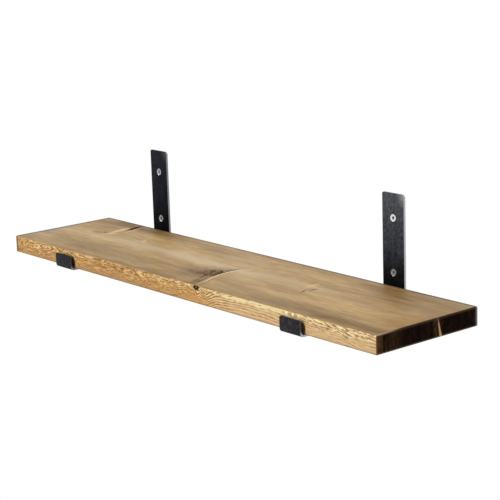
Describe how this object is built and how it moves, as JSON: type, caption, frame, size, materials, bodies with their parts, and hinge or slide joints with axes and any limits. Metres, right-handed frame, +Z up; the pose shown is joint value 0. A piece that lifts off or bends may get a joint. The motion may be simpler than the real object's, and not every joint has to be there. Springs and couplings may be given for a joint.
{
  "type": "wall shelf with brackets",
  "caption": "Wall shelf: a solid softwood board lying in bent flat-bar steel brackets with a low front lip, screwed to the wall through their uprights.",
  "frame": {"origin": "centre of the four wall screws, on the wall plane at the backs of the brackets", "axes": "+X along the shelf to the right, +Y into the wall, +Z up"},
  "size_m": [1, 0.2912, 0.192],
  "materials": {
    "board": "brushed softwood, brown stain and wax, open grain on the front edge",
    "bracket": "hot-rolled flat bar, dark scale under clear lacquer, bare ground edges",
    "screw": "bright zinc plate"
  },
  "bodies": {
    "root": {"board": "board", "bracket_left": "bracket", "bracket_right": "bracket", "wall_screw_left_upper": "screw", "wall_screw_left_lower": "screw", "wall_screw_right_upper": "screw", "wall_screw_right_lower": "screw", "board_screw_left_rear": "screw", "board_screw_left_front": "screw", "board_screw_right_rear": "screw", "board_screw_right_front": "screw"}
  },
  "joints": []
}
